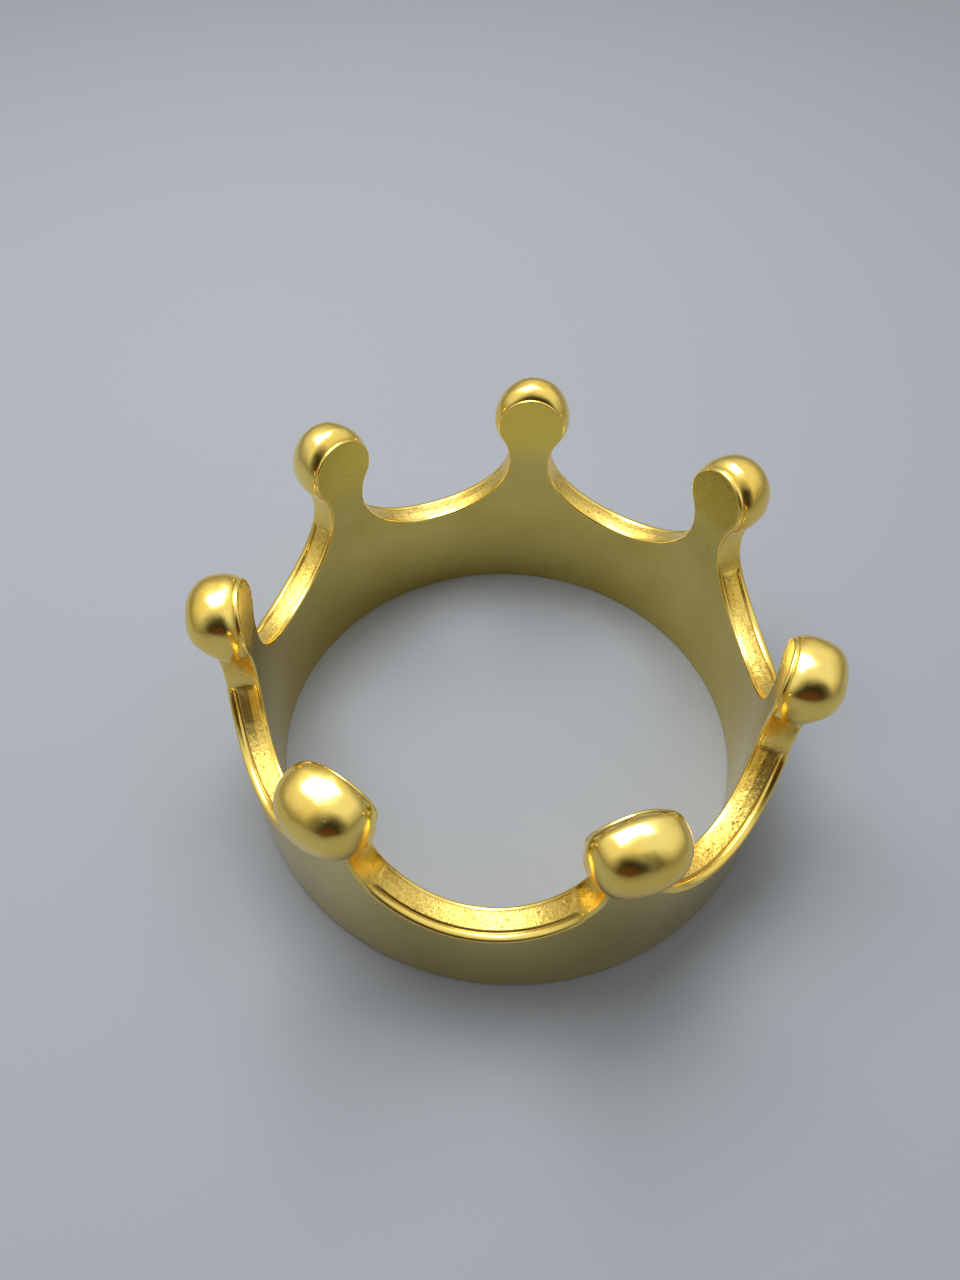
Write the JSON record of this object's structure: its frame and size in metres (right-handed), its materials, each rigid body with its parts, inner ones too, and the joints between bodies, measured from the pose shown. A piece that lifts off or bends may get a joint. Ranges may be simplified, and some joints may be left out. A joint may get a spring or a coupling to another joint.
{
  "type": "crown ring",
  "caption": "Small crown-shaped ring: a plain round band with a scalloped upper edge whose spikes narrow to necks and carry half balls on their tips.",
  "frame": {"origin": "centre of the bore at the band's flat lower edge", "axes": "+Z along the bore axis towards the balls, +Y towards the spike of knob_1"},
  "size_m": [0.0214, 0.021, 0.0101],
  "materials": {
    "band": "gold-plated casting, satin walls, bright edges",
    "knobs": "gold-plated, polished"
  },
  "bodies": {
    "root": {"band": "band", "knob_1": "knobs", "knob_2": "knobs", "knob_3": "knobs", "knob_4": "knobs", "knob_5": "knobs", "knob_6": "knobs", "knob_7": "knobs"}
  },
  "joints": []
}
